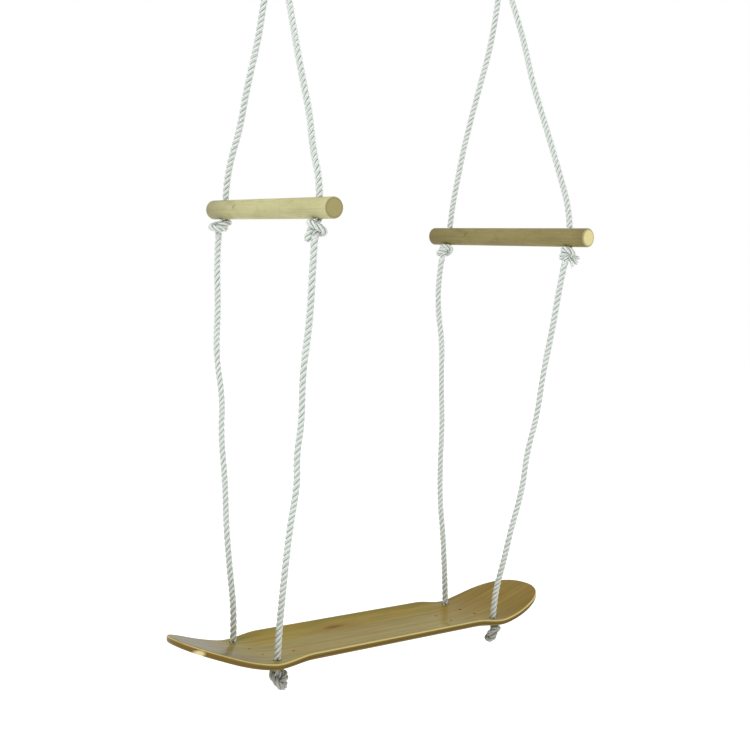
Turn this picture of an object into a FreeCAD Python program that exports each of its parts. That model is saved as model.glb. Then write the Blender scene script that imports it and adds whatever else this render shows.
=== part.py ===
"""Skateboard-deck swing: a seven-ply deck hung from two pairs of ropes, with a dowel handle on each pair.

Millimetres, +Z up. The origin is where the left eye screw meets the underside of its beam.
+X runs along the deck from its tail (left) to its nose (right), +Y runs across it to the far side.
"""
import FreeCAD
import Part
import math
import os
import Sketcher

Vector = FreeCAD.Vector
Rotation = FreeCAD.Rotation

SIZES = {
    # rope and its knots
    "rope_radius": 6.0,
    "knot_radius": 17.0,
    "knot_height": 24.0,
    "knot_neck": 14.0,
    "knot_shoulder": 5.0,
    "knot_gap": 0.5,
    "top_knot_radius": 20.0,
    "top_knot_neck": 16.0,
    "top_knot_height": 42.0,
    "loop_start_gap": 3.0,
    "tail_length": 30.0,
    # deck
    "deck_x": 244.0,
    "deck_y": 8.0,
    "deck_z": -1461.0,
    "tail_length_x": 404.0,
    "nose_length_x": 402.0,
    "deck_half_width": 89.0,
    "deck_thickness": 11.0,
    "end_length": 134.0,
    "end_power": 2.42,
    "kick_start": 189.0,
    "kick_radius": 440.0,
    "tail_kick_deg": 19.5,
    "nose_kick_deg": 17.5,
    "concave_height": 14.0,
    "concave_start": 0.35,
    "concave_power": 1.6,
    "concave_fade": 82.0,
    "slab_margin": 6.0,
    # holes in the deck
    "wheelbase": 367.0,
    "truck_length": 63.5,
    "truck_width": 41.28,
    "truck_hole_radius": 2.75,
    "rope_hole_x": 250.0,
    "rope_hole_y": 67.0,
    "rope_hole_radius": 7.0,
    # handles
    "handle_length": 398.0,
    "handle_radius": 17.0,
    "handle_edge": 3.0,
    "handle_hole_spacing": 312.5,
    # eye screws, quick links and their nuts
    "eye_spacing": 500.0,
    "eye_ring_radius": 18.0,
    "wire_radius": 4.0,
    "wire_gap": 0.3,
    "eye_drop": 26.0,
    "collar_radius": 9.0,
    "collar_height": 3.0,
    "shank_length": 18.0,
    "thread_pitch": 3.5,
    "thread_turns": 10.0,
    "thread_depth": 0.9,
    "screw_point": 8.0,
    "link_bend_radius": 16.0,
    "link_straight": 34.0,
    "nut_radius": 7.2,
    "nut_bore_radius": 4.15,
    "nut_length": 20.0,
}

# Where the dowel's axis crosses each rope hole of a handle.
HANDLE_HOLES = {
    "left": {"far": (16, 161, -703), "near": (-6, -150, -723)},
    "right": {"far": (520, 118, -717), "near": (530, -194, -734)},
}

# Underside of the knot that joins each pair of ropes at the top.
TOP_KNOTS = {"left": (6, -2, -276), "right": (519, -16, -232)}

# Each upper rope, from the top knot down through its handle.
UPPER_ROUTES = {
    ("left", "far"): [(6, 6, -279), (8, 33, -345), (13, 61, -425), (10, 88, -500), (14, 114, -565),
                      (10, 137, -620), (15, 159, -668), (16, 162, -721)],
    ("left", "near"): [(6, -10, -279), (3, -34, -350), (1, -64, -440), (1, -88, -512), (2, -108, -572),
                       (-4, -126, -628), (-6, -152, -687), (-6, -149, -741)],
    ("right", "far"): [(520, -8, -235), (525, 4, -290), (526, 22, -360), (521, 50, -450), (517, 76, -535),
                       (517, 93, -600), (520, 116, -680), (520, 119, -735)],
    ("right", "near"): [(519, -24, -235), (522, -45, -290), (525, -71, -360), (523, -97, -440),
                        (528, -131, -530), (532, -157, -600), (530, -196, -698), (530, -193, -752)],
}

# Each lower rope, from the knot under its handle down to just above the deck.
LOWER_ROUTES = {
    ("left", "far"): [(7, 167, -746), (1, 162, -800), (1, 155, -870), (-8, 145, -960), (0, 133, -1035),
                      (-6, 127, -1100), (-4, 114, -1175), (-7, 103, -1255), (-5, 91, -1335),
                      (-4, 77, -1404), (-6, 75, -1451)],
    ("left", "near"): [(-12, -147, -766), (-9, -139, -825), (-6, -130, -900), (-10, -119, -985),
                       (-5, -113, -1060), (-8, -104, -1115), (-2, -101, -1160), (-8, -88, -1240),
                       (-8, -76, -1325), (-5, -61, -1404), (-6, -59, -1451)],
    ("right", "far"): [(508, 125, -760), (502, 128, -810), (501, 124, -875), (506, 116, -930),
                       (501, 110, -1020), (501, 104, -1100), (496, 102, -1170), (492, 96, -1250),
                       (496, 88, -1320), (493, 77, -1404), (494, 75, -1451)],
    ("right", "near"): [(526, -187, -777), (521, -178, -835), (521, -166, -900), (517, -149, -985),
                        (516, -139, -1060), (509, -121, -1135), (511, -112, -1200), (502, -93, -1280),
                        (500, -78, -1345), (495, -61, -1408), (494, -59, -1451)],
}

# Where the top face of each stopper knot is centred, just under its handle.
HANDLE_KNOTS = {
    ("left", "far"): (12, 165, -721),
    ("left", "near"): (-9, -148, -741),
    ("right", "far"): (514, 122, -735),
    ("right", "near"): (528, -190, -752),
}

# Directions in which the cut ends of the rope leave the knots that have one.
HANDLE_KNOT_TAILS = {("left", "near"): (-0.75, 0.3, -0.6), ("right", "near"): (0.8, -0.5, -0.35)}
DECK_KNOT_TAILS = {
    ("left", "far"): (0.2, 0.3, -0.9),
    ("left", "near"): (-0.3, 0.2, -0.9),
    ("right", "far"): (0.3, 0.1, -0.9),
    ("right", "near"): (-0.1, 0.2, -0.95),
}

SIDES = ("left", "right")
ROWS = ("far", "near")

# How much of the shorter of two runs the arc between them takes up.
ARC_SHARE = 0.45

# Tall enough to cut right through the deck anywhere along it.
CUTTER_HEIGHT = 200.0

document = FreeCAD.newDocument("SkateboardSwing")
sheet = document.addObject("Spreadsheet::Sheet", "Sizes")
kept = []


def fill_sheet():
    """Write every driving dimension into its own row, under its own alias."""
    for row, (alias, value) in enumerate(SIZES.items(), start=1):
        sheet.set(f"A{row}", alias)
        sheet.set(f"B{row}", str(value))
        sheet.setAlias(f"B{row}", alias)
    document.recompute()


def size(alias):
    """The value that the sheet holds under an alias."""
    return float(sheet.get(alias))


def bind(thing, prop, formula):
    """Tie a property to a formula in which $ marks a name from the sheet."""
    thing.setExpression(prop, formula.replace("$", "Sizes."))


def keep(thing, label):
    """Name a sub-part. Its label is its file's name."""
    thing.Label = label
    kept.append(thing)
    return thing


def origin_plane(body, role):
    """One of a body's own origin planes."""
    for feature in body.Origin.OriginFeatures:
        if feature.Role == role:
            return feature
    raise RuntimeError("no plane " + role)


def add_sketch(body, name, role="XY_Plane"):
    """A sketch on one of a body's origin planes."""
    sketch = body.newObject("Sketcher::SketchObject", name)
    sketch.AttachmentSupport = (origin_plane(body, role), [""])
    sketch.MapMode = "FlatFace"
    return sketch


def add_circle(sketch, radius_formula, radius, y_formula=None, y=0.0):
    """A circle on a sketch's vertical axis. Its radius and height follow the sheet."""
    circle = sketch.addGeometry(Part.Circle(Vector(0, y, 0), Vector(0, 0, 1), radius), False)
    index = sketch.addConstraint(Sketcher.Constraint("Radius", circle, radius))
    bind(sketch, f"Constraints[{index}]", radius_formula)
    sketch.addConstraint(Sketcher.Constraint("PointOnObject", circle, 3, -2))
    if y_formula is None:
        sketch.addConstraint(Sketcher.Constraint("PointOnObject", circle, 3, -1))
    else:
        index = sketch.addConstraint(Sketcher.Constraint("DistanceY", circle, 3, y))
        bind(sketch, f"Constraints[{index}]", y_formula)
    return circle


def add_outline(sketch, corners):
    """A closed outline of straight lines. Corners are (x, x formula, y, y formula)."""
    count = len(corners)
    lines = []
    for here, there in zip(corners, corners[1:] + corners[:1]):
        line = Part.LineSegment(Vector(here[0], here[2], 0), Vector(there[0], there[2], 0))
        lines.append(sketch.addGeometry(line, False))
    for number in range(count):
        following = lines[(number + 1) % count]
        sketch.addConstraint(Sketcher.Constraint("Coincident", lines[number], 2, following, 1))
    for line, (x, x_formula, y, y_formula) in zip(lines, corners):
        index = sketch.addConstraint(Sketcher.Constraint("DistanceX", line, 1, x))
        bind(sketch, f"Constraints[{index}]", x_formula)
        index = sketch.addConstraint(Sketcher.Constraint("DistanceY", line, 1, y))
        bind(sketch, f"Constraints[{index}]", y_formula)


def add_turning(body, label, corners):
    """A piece turned about a body's own Z axis, from the half outline of its section."""
    sketch = add_sketch(body, label + "_profile", "XZ_Plane")
    add_outline(sketch, corners)
    turning = body.newObject("PartDesign::Revolution", label + "_turning")
    turning.Profile = sketch
    turning.ReferenceAxis = (sketch, ["V_Axis"])
    turning.Angle = 360.0
    return turning


def rope_wire(points):
    """Straight runs joined by tangent arcs, each as large as its two runs allow. Returns wire and radii."""
    corners = [Vector(*point) for point in points]
    edges = []
    radii = []
    start = corners[0]
    for before, here, after in zip(corners, corners[1:], corners[2:]):
        inward = here - before
        outward = after - here
        turn = inward.getAngle(outward)
        reach = ARC_SHARE * min(inward.Length, outward.Length)
        radius = reach / math.tan(turn / 2)
        inward.normalize()
        outward.normalize()
        entry = here - inward * reach
        leaving = here + outward * reach
        bisector = outward - inward
        bisector.normalize()
        centre = here + bisector * (radius / math.cos(turn / 2))
        middle = centre - bisector * radius
        edges.append(Part.LineSegment(start, entry).toShape())
        edges.append(Part.Arc(entry, middle, leaving).toShape())
        start = leaving
        radii.append(radius)
    edges.append(Part.LineSegment(start, corners[-1]).toShape())
    return Part.Wire(edges), radii


def add_rope(label, points):
    """A rope as a circle swept along its route."""
    wire, radii = rope_wire(points)
    route = document.addObject("Part::Feature", label + "_route")
    route.Shape = wire
    section = document.addObject("Part::Circle", label + "_section")
    bind(section, "Radius", "$rope_radius")
    start = Vector(*points[0])
    section.Placement = FreeCAD.Placement(start, Rotation(Vector(0, 0, 1), Vector(*points[1]) - start))
    sweep = document.addObject("Part::Sweep", label)
    sweep.Sections = [section]
    sweep.Spine = (route, [f"Edge{number + 1}" for number in range(len(wire.Edges))])
    sweep.Solid = True
    document.recompute()
    expected = math.pi * size("rope_radius") ** 2 * wire.Length
    share = sweep.Shape.Volume / expected
    bends = f"radii {min(radii):.0f} to {max(radii):.0f}"
    print(f"{label}: length {wire.Length:.0f}, {bends}, volume {share:.3f}")
    if abs(share - 1) > 0.01:
        raise RuntimeError(label + " has the wrong volume")
    return keep(sweep, label)


def add_knot(label, place, tail=None):
    """A tied knot: a turned barrel with flat ends, hanging down from its place, with a tail if it has one."""
    body = document.addObject("PartDesign::Body", label)
    radius, height = size("knot_radius"), size("knot_height")
    neck, shoulder = size("knot_neck"), size("knot_shoulder")
    add_turning(body, label, [
        (0, "0 * $knot_neck", -height, "-$knot_height"),
        (neck, "$knot_neck", -height, "-$knot_height"),
        (radius, "$knot_radius", -height + shoulder, "-$knot_height + $knot_shoulder"),
        (radius, "$knot_radius", -shoulder, "-$knot_shoulder"),
        (neck, "$knot_neck", 0, "0 * $knot_neck"),
        (0, "0 * $knot_neck", 0, "0 * $knot_neck"),
    ])
    if tail is not None:
        stub = body.newObject("PartDesign::AdditiveCylinder", label + "_tail")
        bind(stub, "Radius", "$rope_radius")
        bind(stub, "Height", "$tail_length")
        middle = Vector(0, 0, -height / 2)
        stub.Placement = FreeCAD.Placement(middle, Rotation(Vector(0, 0, 1), Vector(*tail)))
    body.Placement = FreeCAD.Placement(Vector(*place), Rotation())
    return keep(body, label)


def kick_height(along):
    """Height of the deck's middle line above its flat, where along is measured from the deck's centre."""
    reach = abs(along) - size("kick_start")
    radius = size("kick_radius")
    angle = math.radians(size("tail_kick_deg") if along < 0 else size("nose_kick_deg"))
    curve_end = radius * math.sin(angle)
    if reach <= 0:
        return 0.0
    if reach <= curve_end:
        return radius - math.sqrt(radius ** 2 - reach ** 2)
    return radius * (1 - math.cos(angle)) + (reach - curve_end) * math.tan(angle)


def rail_height(along, across):
    """How far the concave lifts the deck towards its rails. It fades out over the kicks."""
    share = abs(across) / size("deck_half_width")
    start = size("concave_start")
    rise = max(share - start, 0.0) / (1 - start)
    step = min(max((abs(along) - size("kick_start")) / size("concave_fade"), 0.0), 1.0)
    fade = 1 - step * step * (3 - 2 * step)
    return size("concave_height") * rise ** size("concave_power") * fade


def deck_top(along, across):
    """A point of the deck's top face."""
    return Vector(along, across, kick_height(along) + rail_height(along, across))


def deck_bottom(along, across):
    """The point of the deck's underside below it, one thickness away along the normal."""
    step = 0.5
    slope_x = (deck_top(along + step, across) - deck_top(along - step, across)).normalize()
    slope_y = (deck_top(along, across + step) - deck_top(along, across - step)).normalize()
    return deck_top(along, across) - slope_x.cross(slope_y) * size("deck_thickness")


def deck_slab():
    """The bent and hollowed plywood sheet before its outline is cut."""
    margin = size("slab_margin")
    tail, nose = -size("tail_length_x") - margin, size("nose_length_x") + margin
    half = size("deck_half_width") + margin
    columns, rows = 48, 14
    stations = [tail + (nose - tail) * i / columns for i in range(columns + 1)]
    widths = [-half + 2 * half * j / rows for j in range(rows + 1)]
    faces = []
    for point_of in (deck_top, deck_bottom):
        surface = Part.BSplineSurface()
        surface.interpolate([[point_of(along, across) for across in widths] for along in stations])
        faces.append(surface.toShape())
    for upper, lower in zip(faces[0].Edges, faces[1].Edges):
        faces.append(Part.makeRuledSurface(upper, lower))
    shell = Part.makeShell(faces)
    shell.sewShape()
    return Part.Solid(shell)


def deck_end(length, direction):
    """One rounded end of the outline, from the +Y rail round the tip to the -Y rail."""
    half, reach, power = size("deck_half_width"), size("end_length"), 2 / size("end_power")
    count = 9
    points = []
    for number in range(2 * count + 1):
        angle = math.pi / 2 * number / count
        along = length - reach + reach * abs(math.sin(angle)) ** power
        across = half * math.copysign(abs(math.cos(angle)) ** power, math.cos(angle))
        points.append(Vector(direction * along, across, 0))
    curve = Part.BSplineCurve()
    curve.interpolate(points, InitialTangent=Vector(direction, 0, 0), FinalTangent=Vector(-direction, 0, 0))
    return curve.toShape(), points


def deck_outline():
    """The plan shape of the deck as an upright prism."""
    nose, nose_points = deck_end(size("nose_length_x"), 1)
    tail, tail_points = deck_end(size("tail_length_x"), -1)
    near_rail = Part.LineSegment(nose_points[-1], tail_points[-1]).toShape()
    far_rail = Part.LineSegment(tail_points[0], nose_points[0]).toShape()
    face = Part.Face(Part.Wire(Part.__sortEdges__([nose, near_rail, tail, far_rail])))
    face.translate(Vector(0, 0, -CUTTER_HEIGHT / 2))
    return face.extrude(Vector(0, 0, CUTTER_HEIGHT))


def hole_tool(along, across, radius):
    """An upright drill through the deck, with its seam on the side towards the rail."""
    foot = Vector(along, across, -CUTTER_HEIGHT / 2)
    drill = Part.makeCylinder(radius, CUTTER_HEIGHT, foot)
    drill.rotate(foot, Vector(0, 0, 1), math.copysign(90, across))
    return drill


def truck_centres():
    """Centre of each truck's bolt pattern, along the deck from its middle."""
    offset = (size("wheelbase") + size("truck_length")) / 2
    return (-offset, offset)


def deck_holes():
    """The eight truck bolt holes and the four rope holes."""
    tools = []
    for centre in truck_centres():
        for x_side in (-1, 1):
            for y_side in (-1, 1):
                along = centre + x_side * size("truck_length") / 2
                tools.append(hole_tool(along, y_side * size("truck_width") / 2, size("truck_hole_radius")))
    for x_side in (-1, 1):
        for y_side in (-1, 1):
            tools.append(hole_tool(x_side * size("rope_hole_x"), y_side * size("rope_hole_y"),
                                   size("rope_hole_radius")))
    return tools


def add_deck():
    """The deck: plywood sheet, cut to its outline and drilled."""
    deck = document.addObject("Part::Feature", "deck")
    drills = deck_holes()
    deck.Shape = deck_slab().common(deck_outline()).cut(drills).Solids[0]
    round_walls = [face for face in deck.Shape.Faces if isinstance(face.Surface, Part.Cylinder)]
    if len(round_walls) != len(drills):
        raise RuntimeError("a hole in the deck is missing or isn't round")
    deck.Placement = FreeCAD.Placement(Vector(size("deck_x"), size("deck_y"), size("deck_z")), Rotation())
    return keep(deck, "deck")


def deck_rope_place(side, row):
    """Where a rope meets the deck's top face, in the frame of the whole swing."""
    along = size("rope_hole_x") * (-1 if side == "left" else 1)
    across = size("rope_hole_y") * (1 if row == "far" else -1)
    return deck_top(along, across) + Vector(size("deck_x"), size("deck_y"), size("deck_z"))


def add_handle(side):
    """A dowel with rounded ends and a rope hole near each end."""
    label = side + "_handle"
    body = document.addObject("PartDesign::Body", label)
    round_sketch = add_sketch(body, label + "_section", "XZ_Plane")
    add_circle(round_sketch, "$handle_radius", size("handle_radius"))
    dowel = body.newObject("PartDesign::Pad", label + "_dowel")
    dowel.Profile = round_sketch
    dowel.Midplane = True
    bind(dowel, "Length", "$handle_length")
    document.recompute()
    rims = [f"Edge{i + 1}" for i, edge in enumerate(dowel.Shape.Edges) if isinstance(edge.Curve, Part.Circle)]
    rounding = body.newObject("PartDesign::Fillet", label + "_rounding")
    rounding.Base = (dowel, rims)
    bind(rounding, "Radius", "$handle_edge")
    document.recompute()
    solid_volume = rounding.Shape.Volume
    holes = add_sketch(body, label + "_hole_centres")
    spacing = size("handle_hole_spacing")
    for sign, text in ((1, ""), (-1, "-")):
        add_circle(holes, "$rope_hole_radius", size("rope_hole_radius"),
                   y_formula=text + "$handle_hole_spacing / 2", y=sign * spacing / 2)
    drilling = body.newObject("PartDesign::Pocket", label + "_holes")
    drilling.Profile = holes
    drilling.Midplane = True
    drilling.Type = "Length"
    bind(drilling, "Length", "4 * $handle_radius")
    document.recompute()
    if solid_volume - drilling.Shape.Volume < size("rope_hole_radius") ** 2 * size("handle_radius"):
        raise RuntimeError("the rope holes were not drilled")
    far, near = (Vector(*HANDLE_HOLES[side][row]) for row in ROWS)
    body.Placement = FreeCAD.Placement((far + near) * 0.5, Rotation(Vector(0, 1, 0), far - near))
    return keep(body, label)


def add_eye_screw(side):
    """A forged eye on a collar, with a plain shank and a wood-screw thread above it."""
    label = side + "_eye_screw"
    body = document.addObject("PartDesign::Body", label)
    wire, depth, pitch = size("wire_radius"), size("thread_depth"), size("thread_pitch")
    zero = "0 * $wire_radius"
    collar, thickness, shank = size("collar_radius"), size("collar_height"), size("shank_length")
    corners = [
        (0, zero, -thickness - wire, "-$collar_height - $wire_radius"),
        (wire, "$wire_radius", -thickness - wire, "-$collar_height - $wire_radius"),
        (wire, "$wire_radius", -thickness, "-$collar_height"),
        (collar, "$collar_radius", -thickness, "-$collar_height"),
        (collar, "$collar_radius", 0, zero),
        (wire, "$wire_radius", 0, zero),
    ]
    turns = int(size("thread_turns"))
    for turn in range(turns):
        base = f"$shank_length + {turn} * $thread_pitch"
        height = shank + turn * pitch
        corners.append((wire, "$wire_radius", height, base))
        corners.append((wire - depth, "$wire_radius - $thread_depth", height + pitch / 2,
                        base + " + $thread_pitch / 2"))
    top = shank + turns * pitch
    top_text = f"$shank_length + {turns} * $thread_pitch"
    corners.append((wire - depth, "$wire_radius - $thread_depth", top, top_text))
    corners.append((0, zero, top + size("screw_point"), top_text + " + $screw_point"))
    add_turning(body, label, corners)
    document.recompute()
    ring = body.newObject("PartDesign::AdditiveTorus", label + "_ring")
    bind(ring, "Radius1", "$eye_ring_radius")
    bind(ring, "Radius2", "$wire_radius")
    ring.Placement = FreeCAD.Placement(Vector(0, 0, -size("eye_drop")), Rotation(Vector(1, 0, 0), 90))
    body.Placement = FreeCAD.Placement(Vector(eye_x(side), 0, 0), Rotation())
    return keep(body, label)


def eye_x(side):
    """The two eye screws sit on one line along X."""
    return 0.0 if side == "left" else size("eye_spacing")


def across_axis_z():
    """Height of the line about which the swing sways across: the middle of the eye's bottom wire."""
    return -size("eye_drop") - size("eye_ring_radius")


def along_axis_z():
    """Height of the line about which a rope loop swings on the bottom wire of its quick link."""
    top = across_axis_z() + 2 * size("wire_radius") + size("wire_gap")
    return top - 2 * size("link_bend_radius") - size("link_straight")


def add_quick_link(side):
    """An oval link of round wire, hanging in the eye."""
    label = side + "_quick_link"
    bend, straight = size("link_bend_radius"), size("link_straight")
    bottom = Vector(eye_x(side), 0, along_axis_z())
    near_low = bottom + Vector(0, -bend, bend)
    near_high = near_low + Vector(0, 0, straight)
    far_high = near_high + Vector(0, 2 * bend, 0)
    far_low = near_low + Vector(0, 2 * bend, 0)
    top = near_high + Vector(0, bend, bend)
    route = document.addObject("Part::Feature", label + "_route")
    route.Shape = Part.Wire([
        Part.LineSegment(near_low, near_high).toShape(),
        Part.Arc(near_high, top, far_high).toShape(),
        Part.LineSegment(far_high, far_low).toShape(),
        Part.Arc(far_low, bottom, near_low).toShape(),
    ])
    section = document.addObject("Part::Circle", label + "_section")
    bind(section, "Radius", "$wire_radius")
    section.Placement = FreeCAD.Placement(near_low, Rotation())
    link = document.addObject("Part::Sweep", label)
    link.Sections = [section]
    link.Spine = (route, [f"Edge{number + 1}" for number in range(4)])
    link.Solid = True
    return keep(link, label)


def add_link_nut(side):
    """The hexagonal sleeve that closes a quick link, on its far leg."""
    label = side + "_link_nut"
    body = document.addObject("PartDesign::Body", label)
    sketch = add_sketch(body, label + "_section")
    radius = size("nut_radius")
    turns = [math.pi / 3 * number for number in range(6)]
    ring = [Vector(radius * math.cos(turn), radius * math.sin(turn), 0) for turn in turns]
    guide = add_circle(sketch, "$nut_radius", radius)
    sketch.toggleConstruction(guide)
    lines = [sketch.addGeometry(Part.LineSegment(a, b), False) for a, b in zip(ring, ring[1:] + ring[:1])]
    for number, line in enumerate(lines):
        sketch.addConstraint(Sketcher.Constraint("Coincident", line, 2, lines[(number + 1) % 6], 1))
        sketch.addConstraint(Sketcher.Constraint("PointOnObject", line, 1, guide))
        if number:
            sketch.addConstraint(Sketcher.Constraint("Equal", lines[0], line))
    sketch.addConstraint(Sketcher.Constraint("PointOnObject", lines[0], 1, -1))
    add_circle(sketch, "$nut_bore_radius", size("nut_bore_radius"))
    sleeve = body.newObject("PartDesign::Pad", label + "_sleeve")
    sleeve.Profile = sketch
    sleeve.Midplane = True
    bind(sleeve, "Length", "$nut_length")
    bend, straight = size("link_bend_radius"), size("link_straight")
    place = Vector(eye_x(side), bend, along_axis_z() + bend + straight / 2)
    body.Placement = FreeCAD.Placement(place, Rotation())
    return keep(body, label)


def add_top_loop(side):
    """The rope loop on the quick link, from the top knot up over the wire and back, in line with its pull."""
    lift = size("top_knot_height") + size("loop_start_gap")
    knot = Vector(*TOP_KNOTS[side]) + Vector(0, 0, lift)
    hang = Vector(eye_x(side), 0, along_axis_z())
    upward = (hang - knot).normalize()
    sideways = Vector(1, 0, 0) - upward * upward.x
    sideways.normalize()
    bend = size("wire_radius") + 2 * size("wire_gap") + size("rope_radius")
    crown = hang + upward * bend
    leg = sideways * (size("rope_radius") + size("knot_gap"))
    shoulder = sideways * bend
    points = [knot - leg, crown - shoulder, crown + shoulder, knot + leg]
    return add_rope(side + "_top_loop", [tuple(point) for point in points])


def add_rope_end(side, row):
    """The stretch of rope inside a hole of the deck, which turns with the deck, and the knot below it."""
    place = deck_rope_place(side, row)
    under = place.z - size("deck_thickness") - 2 * size("knot_gap")
    stub = document.addObject("Part::Cylinder", f"{side}_{row}_rope_end")
    bind(stub, "Radius", "$rope_radius")
    stub.Height = place.z - under
    stub.Placement = FreeCAD.Placement(Vector(place.x, place.y, under), Rotation())
    keep(stub, f"{side}_{row}_rope_end")
    tail = DECK_KNOT_TAILS[(side, row)]
    add_knot(f"{side}_{row}_deck_knot", (place.x, place.y, under), tail)


def add_top_knot(side):
    """The knot that joins a pair of ropes and leaves a loop above it."""
    label = side + "_top_knot"
    body = document.addObject("PartDesign::Body", label)
    radius, height = size("top_knot_radius"), size("top_knot_height")
    neck, shoulder = size("top_knot_neck"), size("knot_shoulder")
    add_turning(body, label, [
        (0, "0 * $knot_neck", 0, "0 * $knot_neck"),
        (neck, "$top_knot_neck", 0, "0 * $knot_neck"),
        (radius, "$top_knot_radius", shoulder, "$knot_shoulder"),
        (radius, "$top_knot_radius", height - shoulder, "$top_knot_height - $knot_shoulder"),
        (neck, "$top_knot_neck", height, "$top_knot_height"),
        (0, "0 * $knot_neck", height, "$top_knot_height"),
    ])
    body.Placement = FreeCAD.Placement(Vector(*TOP_KNOTS[side]), Rotation())
    return keep(body, label)


def add_handle_knot(side, row):
    """The stopper knot that a handle rests on."""
    tail = HANDLE_KNOT_TAILS.get((side, row))
    return add_knot(f"{side}_{row}_handle_knot", HANDLE_KNOTS[(side, row)], tail)


def build():
    """Make every sub-part."""
    add_deck()
    for side in SIDES:
        add_eye_screw(side)
        add_quick_link(side)
        add_link_nut(side)
        add_top_loop(side)
        add_top_knot(side)
        add_handle(side)
        for row in ROWS:
            add_rope(f"{side}_{row}_upper_rope", UPPER_ROUTES[(side, row)])
            add_handle_knot(side, row)
            add_rope(f"{side}_{row}_lower_rope", LOWER_ROUTES[(side, row)])
            add_rope_end(side, row)
    document.recompute()


def check():
    """Stop if anything in the document failed, before any file is written."""
    for thing in document.Objects:
        if "Invalid" in thing.State or "Error" in thing.State:
            raise RuntimeError(thing.Label + " did not compute")
    for thing in kept:
        if thing.Shape.isNull() or not thing.Shape.isValid() or not thing.Shape.Solids:
            raise RuntimeError(thing.Label + " has no valid solid")


def write():
    """Write each sub-part to its own STEP file."""
    os.makedirs("parts", exist_ok=True)
    for thing in kept:
        thing.Shape.exportStep(os.path.join("parts", thing.Label + ".step"))
        volume = thing.Shape.Volume / 1000
        print(f"{thing.Label}: {volume:.1f} cm3, centre {thing.Shape.CenterOfGravity}")


fill_sheet()
build()
check()
write()
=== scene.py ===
"""Skateboard-deck swing: laid ropes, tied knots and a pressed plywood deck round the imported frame.

Metres, +Z up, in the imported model's own frame. Routes and knot sizes are in millimetres, as in the CAD.
"""
import bmesh
import bpy
import math
import numpy as np
from mathutils import Matrix, Vector


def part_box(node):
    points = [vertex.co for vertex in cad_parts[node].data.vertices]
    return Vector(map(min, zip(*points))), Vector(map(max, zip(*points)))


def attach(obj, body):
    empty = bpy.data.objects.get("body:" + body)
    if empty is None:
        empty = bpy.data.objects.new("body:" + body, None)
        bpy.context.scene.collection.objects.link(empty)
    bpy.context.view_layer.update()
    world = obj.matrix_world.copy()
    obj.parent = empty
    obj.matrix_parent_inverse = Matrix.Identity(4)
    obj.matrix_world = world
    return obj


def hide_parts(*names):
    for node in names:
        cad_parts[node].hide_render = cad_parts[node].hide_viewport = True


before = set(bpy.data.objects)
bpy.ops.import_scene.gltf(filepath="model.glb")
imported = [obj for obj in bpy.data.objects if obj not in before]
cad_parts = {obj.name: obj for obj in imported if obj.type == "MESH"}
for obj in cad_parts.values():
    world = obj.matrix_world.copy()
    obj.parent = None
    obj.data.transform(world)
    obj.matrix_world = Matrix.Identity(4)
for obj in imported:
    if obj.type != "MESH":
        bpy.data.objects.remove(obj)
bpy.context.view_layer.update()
MM = 0.001

SIDES = ("left", "right")
ROWS = ("far", "near")

# ---------------------------------------------------------------- the ropes' routes, in millimetres
TOP_KNOTS = {"left": (6, -2, -276), "right": (519, -16, -232)}
TOP_KNOT_HEIGHT = 42
COIL_TURNS = 3.4
LOOP_GAP = 3
LINK_BOTTOM = -101.7
EYE_X = {"left": 0, "right": 500}
WIRE_RADIUS = 4

UPPER_ROUTES = {
    ("left", "far"): [(6, 6, -279), (8, 33, -345), (13, 61, -425), (10, 88, -500), (14, 114, -565),
                      (10, 137, -620), (15, 159, -668), (16, 162, -721)],
    ("left", "near"): [(6, -10, -279), (3, -34, -350), (1, -64, -440), (1, -88, -512), (2, -108, -572),
                       (-4, -126, -628), (-6, -152, -687), (-6, -149, -741)],
    ("right", "far"): [(520, -8, -235), (525, 4, -290), (526, 22, -360), (521, 50, -450), (517, 76, -535),
                       (517, 93, -600), (520, 116, -680), (520, 119, -735)],
    ("right", "near"): [(519, -24, -235), (522, -45, -290), (525, -71, -360), (523, -97, -440),
                        (528, -131, -530), (532, -157, -600), (530, -196, -698), (530, -193, -752)],
}

LOWER_ROUTES = {
    ("left", "far"): [(7, 167, -746), (1, 162, -800), (1, 155, -870), (-8, 145, -960), (0, 133, -1035),
                      (-6, 127, -1100), (-4, 114, -1175), (-7, 103, -1255), (-5, 91, -1335),
                      (-4, 77, -1404), (-6, 75, -1455)],
    ("left", "near"): [(-12, -147, -766), (-9, -139, -825), (-6, -130, -900), (-10, -119, -985),
                       (-5, -113, -1060), (-8, -104, -1115), (-2, -101, -1160), (-8, -88, -1240),
                       (-8, -76, -1325), (-5, -61, -1404), (-6, -59, -1455)],
    ("right", "far"): [(508, 125, -760), (502, 128, -810), (501, 124, -875), (506, 116, -930),
                       (501, 110, -1020), (501, 104, -1100), (496, 102, -1170), (492, 96, -1250),
                       (496, 88, -1320), (493, 77, -1404), (494, 75, -1455)],
    ("right", "near"): [(526, -187, -777), (521, -178, -835), (521, -166, -900), (517, -149, -985),
                        (516, -139, -1060), (509, -121, -1135), (511, -112, -1200), (502, -93, -1280),
                        (500, -78, -1345), (495, -61, -1408), (494, -59, -1455)],
}

# ---------------------------------------------------------------- rope
ROPE_DIAMETER = 0.012
STRANDS = 3
STRAND_RADIUS = ROPE_DIAMETER / 2 / (1 + 2 / math.sqrt(3)) * 1.04
STRAND_ORBIT = ROPE_DIAMETER / 2 - STRAND_RADIUS
LAY_LENGTH = 0.030
RINGS_PER_LAY = 16
STRAND_SIDES = 12
YARNS = 9
KNOT_GIRTH = 0.94
KNOT_SCALE = 0.85
LOOSE_YARNS = 15
YARN_RADIUS = 0.0011
YARN_SIDES = 6

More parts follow.
